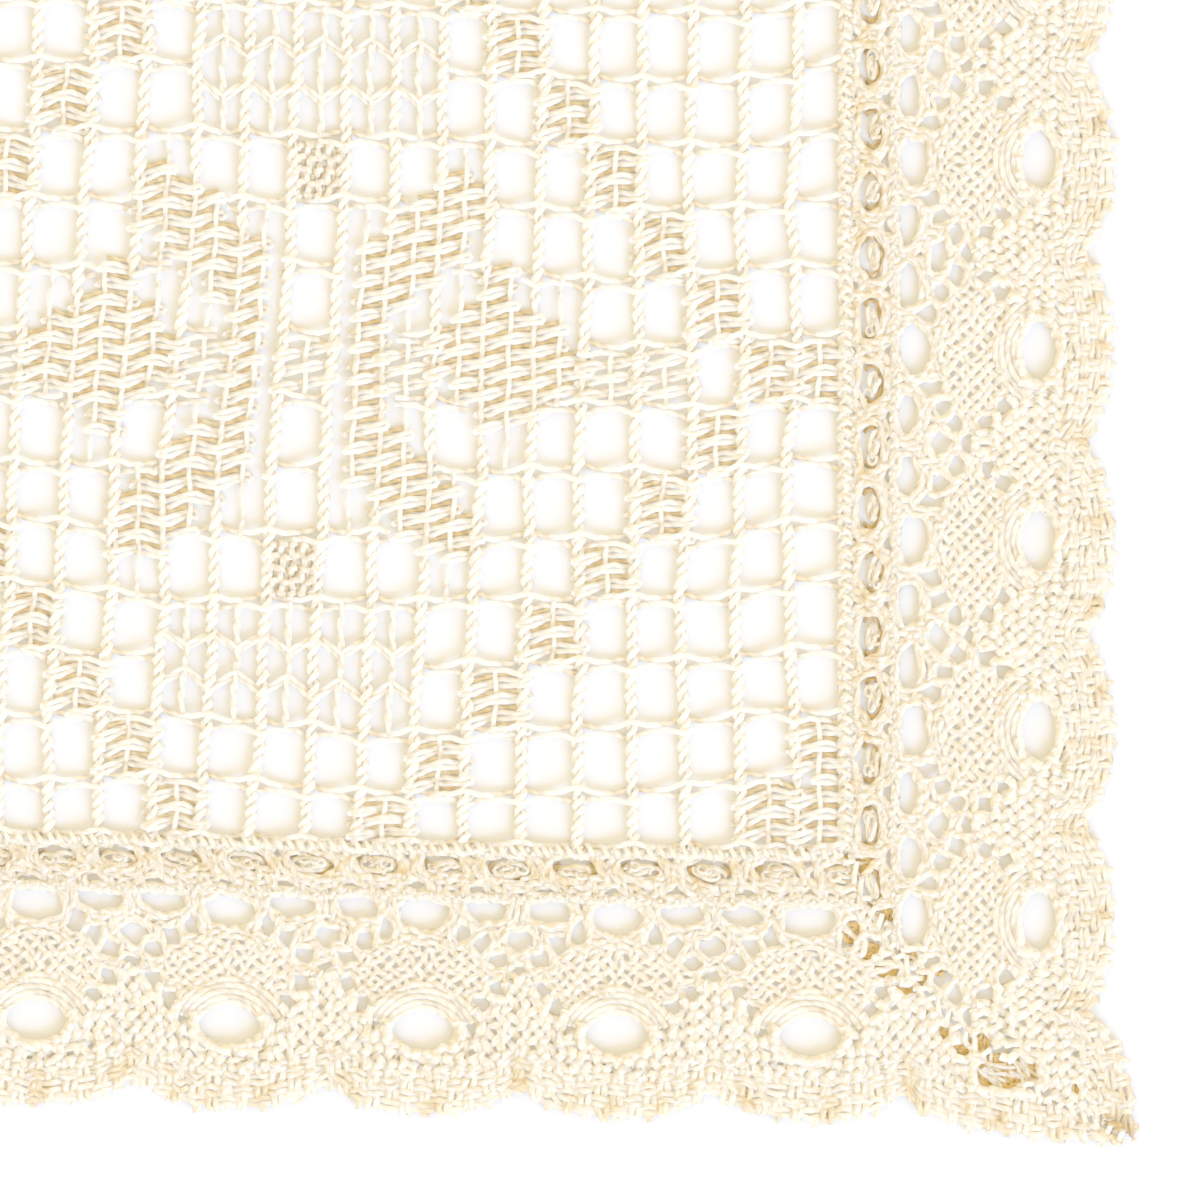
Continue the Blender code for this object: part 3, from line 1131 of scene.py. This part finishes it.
    def build(self, finish: bpy.types.Material) -> None:
        """Build the strip's pieces and put them in place of the solid.

        Args:
            finish: Material of the pieces.
        """
        self.weave(
            (self.pitch / 28.5, 6.15), (4, 190), 0.95, self.thread + 0.4, 0.06,
            lambda s, t: (t < self.fan_limit(s)) & (t > 3) & self.off_arcs(s, t),
        )
        self.selvedge()
        self.sew_joins()
        self.sew_seams()
        ground = self.skein.spin(finish)
        self.skein = Skein(self.name + "_scallops")
        self.weave(
            (self.pitch / 30, 7.4), (112, 300), 2.5, self.thread + 1.2, 0.2,
            lambda s, t: (t > self.fan_limit(s) - 2) & (t < self.outer_edge(s) - 38),
        )
        self.eyelet_rims()
        self.rim()
        self.mitres()
        border = self.skein.spin(finish)
        for piece in (ground, border):
            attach(piece, "root")
            report(piece)
        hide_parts(self.name)


# Materials
def maths(operation: str, turned: bool = False) -> Callable[["Value", "Value | float"], "Value"]:
    """An operator of values that adds a Math node.

    Args:
        operation: The Math node's operation.
        turned: Whether it is the reflected form, with its sides exchanged.

    Returns:
        The operator's method.
    """

    def operator(self: "Value", other: "Value | float") -> "Value":
        """The operation's result."""
        first, second = (other, self) if turned else (self, other)
        return self.combine(operation, first, second)

    return operator


class Value:
    """A node's output that can be used in sums, so that an expression adds its Math nodes."""

    def __init__(self, graph: "Graph", socket: bpy.types.NodeSocket) -> None:
        """Keep the socket and the graph that it is in."""
        self.graph = graph
        self.socket = socket

    def combine(self, operation: str, first: "Value | float", second: "Value | float") -> "Value":
        """Add a Math node for two values."""
        node = self.graph.node("ShaderNodeMath", {"operation": operation}, {0: first, 1: second})
        return self.graph.value(node)

    __add__, __radd__ = maths("ADD"), maths("ADD", turned=True)
    __sub__, __rsub__ = maths("SUBTRACT"), maths("SUBTRACT", turned=True)
    __mul__, __rmul__ = maths("MULTIPLY"), maths("MULTIPLY", turned=True)

    def sine(self) -> "Value":
        """The sine."""
        return self.combine("SINE", self, 0.0)

    def clamped(self, low: float, high: float) -> "Value":
        """The share of the way from low to high, held between 0 and 1.

        Args:
            low: Where the share is 0.
            high: Where it is 1.

        Returns:
            The share.
        """
        node = self.graph.node(
            "ShaderNodeMapRange", {"clamp": True},
            {"Value": self, "From Min": low, "From Max": high, "To Min": 0.0, "To Max": 1.0},
        )
        return self.graph.value(node)


class Graph:
    """A material's nodes."""

    def __init__(self, name: str) -> None:
        """Make the material, which starts with a shader and its output.

        Args:
            name: The material's name.
        """
        self.material = bpy.data.materials.new(name)
        self.material.use_nodes = True
        self.tree = self.material.node_tree
        self.shader = self.tree.nodes["Principled BSDF"]

    def node(self, kind: str, settings: dict, sockets: dict) -> bpy.types.Node:
        """Add a node.

        Args:
            kind: Node type.
            settings: Its settings, set before the sockets.
            sockets: Values or links of its inputs, by name or number.

        Returns:
            The node.
        """
        node = self.tree.nodes.new(kind)
        for name, setting in settings.items():
            setattr(node, name, setting)
        for name, given in sockets.items():
            self.feed(node.inputs[name], given)
        return node

    def feed(self, socket: bpy.types.NodeSocket, given: object) -> None:
        """Link a value to an input, or set the input to a number or colour.

        Args:
            socket: The input.
            given: The value, number or colour.
        """
        if isinstance(given, Value):
            self.tree.links.new(given.socket, socket)
        else:
            socket.default_value = given

    def value(self, node: bpy.types.Node, output: int | str = 0) -> Value:
        """A node's output as a value."""
        return Value(self, node.outputs[output])


@dataclass(frozen=True)
class Cotton:
    """Matt plied cotton thread, tanned with ageing, with painted shade: browner towards the table and in the
    grooves between plies.
    """

    name: str
    pale: Colour
    deep: Colour
    # tan and straw: the colours of ageing, and of painted shade low down towards the table and in the grooves
    # between plies
    tan_and_shade: Colour
    through: Colour
    straw_and_shade: Colour = (0.66, 0.43, 0.16)
    thinness: float = 0.78
    ply: float = 1.6 * MM
    painted_groove_shade: float = 0.16
    roughness: float = 0.88

    def material(self) -> bpy.types.Material:
        """Make the material.

        Returns:
            The material, whose thread length and share of ageing and painted shade are the mesh's own
            attributes.
        """
        graph = Graph(self.name)
        place = graph.value(graph.node("ShaderNodeTexCoord", {}, {}), "Object")
        drift = self.noise(graph, place, 90.0, 2.0)
        fibre = self.noise(graph, place, 3000.0, 2.0)
        along, age = (
            graph.value(graph.node("ShaderNodeAttribute", {"attribute_name": name}, {}), "Fac")
            for name in ("along", "age")
        )
        around = graph.node("ShaderNodeUVMap", {"uv_map": "UVMap"}, {})
        turn = graph.value(graph.node("ShaderNodeSeparateXYZ", {}, {0: graph.value(around)}), "Y")
        height = graph.value(graph.node("ShaderNodeSeparateXYZ", {}, {0: place}), "Z")
        plies = (along * (tau / self.ply) + turn * (6 * pi)).sine()
        mix = self.mix(graph, drift.clamped(0.3, 0.7), self.pale, self.deep)
        # Painted shade: thread lying lower, towards the table, is mixed further towards straw and tan, and
        # lets less light through
        low = 1.0 - height.clamped(0.2 * MM, 1.0 * MM)
        speck = self.noise(graph, place, 2700.0, 1.0).clamped(0.56, 0.72)
        # Painted shade: the grooves between the plies are darkened towards straw and tan
        painted_groove_shade = plies.clamped(0.2, -1.0)
        # Share of straw and tan: painted shade from lying low and from the ply grooves, with the thread's
        # ageing and random specks
        share = low * 0.8 + age * 0.9 + speck * 0.2 + painted_groove_shade * self.painted_groove_shade
        mix = self.mix(graph, share * 2.0, mix, self.straw_and_shade)
        mix = self.mix(graph, share * 2.0 - 1.0, mix, self.tan_and_shade)
        graph.feed(graph.shader.inputs["Base Color"], mix)
        graph.shader.inputs["Roughness"].default_value = self.roughness
        graph.shader.inputs["Specular IOR Level"].default_value = 0.2
        relief = {"Strength": 1.0, "Distance": 0.3 * MM, "Height": plies * 0.35 + fibre * 0.8}
        bump = graph.node("ShaderNodeBump", {}, relief)
        graph.feed(graph.shader.inputs["Normal"], graph.value(bump))
        through = graph.node("ShaderNodeBsdfTranslucent", {}, {"Color": (*self.through, 1.0)})
        blend = graph.node("ShaderNodeMixShader", {}, {
            0: self.thinness - low * 0.6 - age * 0.4, 1: graph.value(graph.shader), 2: graph.value(through),
        })
        graph.feed(graph.tree.nodes["Material Output"].inputs["Surface"], graph.value(blend))
        return graph.material

    @staticmethod
    def noise(graph: Graph, place: Value, scale: float, detail: float) -> Value:
        """Noise on the object's own coordinates."""
        node = graph.node("ShaderNodeTexNoise", {}, {"Vector": place, "Scale": scale, "Detail": detail})
        return graph.value(node)

    @staticmethod
    def mix(graph: Graph, share: Value, first: object, second: object) -> Value:
        """Mix two colours.

        Args:
            graph: The material's nodes.
            share: Share of the second colour.
            first: A colour or a value.
            second: A colour or a value.

        Returns:
            The mixed colour.
        """
        node = graph.node("ShaderNodeMix", {"data_type": "RGBA", "clamp_factor": True}, {0: share})
        for number, colour in ((6, first), (7, second)):
            given = colour if isinstance(colour, Value) else (*colour, 1.0)
            graph.feed(node.inputs[number], given)
        return graph.value(node, 2)


# Studio
@dataclass
class Studio:
    """The pale floor, the soft light and the camera."""

    middle: tuple[float, float] = (37.1 * MM, -100.4 * MM)
    span: float = 150 * MM
    distance: float = 1.6
    floor_size: float = 4.0
    floor_colour: Colour = (0.365, 0.355, 0.385)
    room_colour: Colour = (1.0, 0.76, 0.32)
    room_strength: float = 0.9
    sun_colour: Colour = (0.34, 0.61, 1.0)
    sun_strength: float = 3.8
    sun_width: float = math.radians(45)
    sun_turn: tuple[float, float, float] = (math.radians(43), math.radians(45), 0.0)
    exposure: float = 1.6
    gamma: float = 2.8

    def floor(self) -> None:
        """Lay the floor under the runner."""
        bpy.ops.mesh.primitive_plane_add(size=self.floor_size)
        plane = bpy.context.object
        plane.name = "floor"
        graph = Graph("floor_paint")
        graph.shader.inputs["Base Color"].default_value = (*self.floor_colour, 1.0)
        graph.shader.inputs["Roughness"].default_value = 0.9
        graph.shader.inputs["Specular IOR Level"].default_value = 0.1
        plane.data.materials.append(graph.material)

    def lights(self) -> None:
        """Set the warm light of the room and the large cool window at the lower right."""
        world = bpy.data.worlds.new("room")
        world.use_nodes = True
        background = world.node_tree.nodes["Background"]
        background.inputs["Color"].default_value = (*self.room_colour, 1.0)
        background.inputs["Strength"].default_value = self.room_strength
        bpy.context.scene.world = world
        lamp = bpy.data.lights.new("window", "SUN")
        lamp.energy = self.sun_strength
        lamp.color = self.sun_colour
        lamp.angle = self.sun_width
        linked("window", lamp).rotation_euler = self.sun_turn

    def camera(self) -> None:
        """Point the camera straight down at the photographed corner."""
        lens = bpy.data.cameras.new("camera")
        lens.lens = lens.sensor_width * self.distance / self.span
        lens.clip_start = 0.01
        holder = linked("camera", lens)
        holder.location = (*self.middle, self.distance)
        bpy.context.scene.camera = holder

    def build(self) -> None:
        """Set up the whole studio."""
        self.floor()
        self.lights()
        self.camera()
        view = bpy.context.scene.view_settings
        view.view_transform = "Standard"
        view.exposure = self.exposure
        view.gamma = self.gamma


def report(piece: bpy.types.Object) -> None:
    """Log a piece's name and its number of triangles."""
    triangles = sum(len(face.vertices) - 2 for face in piece.data.polygons)
    LOG.info("%s: %d triangles", piece.name, triangles)


def main() -> None:
    """Build the runner and its studio in order."""
    logging.basicConfig(level=logging.INFO, format="%(message)s")
    Studio().build()
    net_cotton = Cotton(
        "net_cotton", pale=(0.98, 0.98, 0.98), deep=(0.98, 0.97, 0.94), tan_and_shade=(0.36, 0.16, 0.02),
        through=(0.99, 0.93, 0.80),
    )
    lace_cotton = Cotton(
        "lace_cotton", pale=(0.98, 0.98, 0.97), deep=(0.98, 0.96, 0.92), tan_and_shade=(0.31, 0.125, 0.01),
        through=(0.99, 0.9, 0.71),
    )
    NetPanel().build(net_cotton.material())
    lace = lace_cotton.material()
    long_lace = {
        "last_bow": 1, "pitch": 190.0, "past_corner": 70.0, "eyelet_out": 195.2, "eyelet_wide": 34.4,
        "eyelet_long": 59.2,
    }
    short_lace = {
        "last_bow": -1, "pitch": 193.6, "past_corner": -32.8, "eyelet_out": 185.6, "eyelet_wide": 39.2,
        "eyelet_long": 62.4,
    }
    strips = (
        ("edging_right", (1, 0), (0, -1), long_lace), ("edging_left", (-1, 0), (0, 1), long_lace),
        ("edging_bottom", (0, -1), (1, 0), short_lace), ("edging_top", (0, 1), (-1, 0), short_lace),
    )
    for seed, (name, outward, along, sizes) in enumerate(strips, start=7):
        Edging(name, outward, along, seed=seed, **sizes).build(lace)


if __name__ == "__main__":
    main()
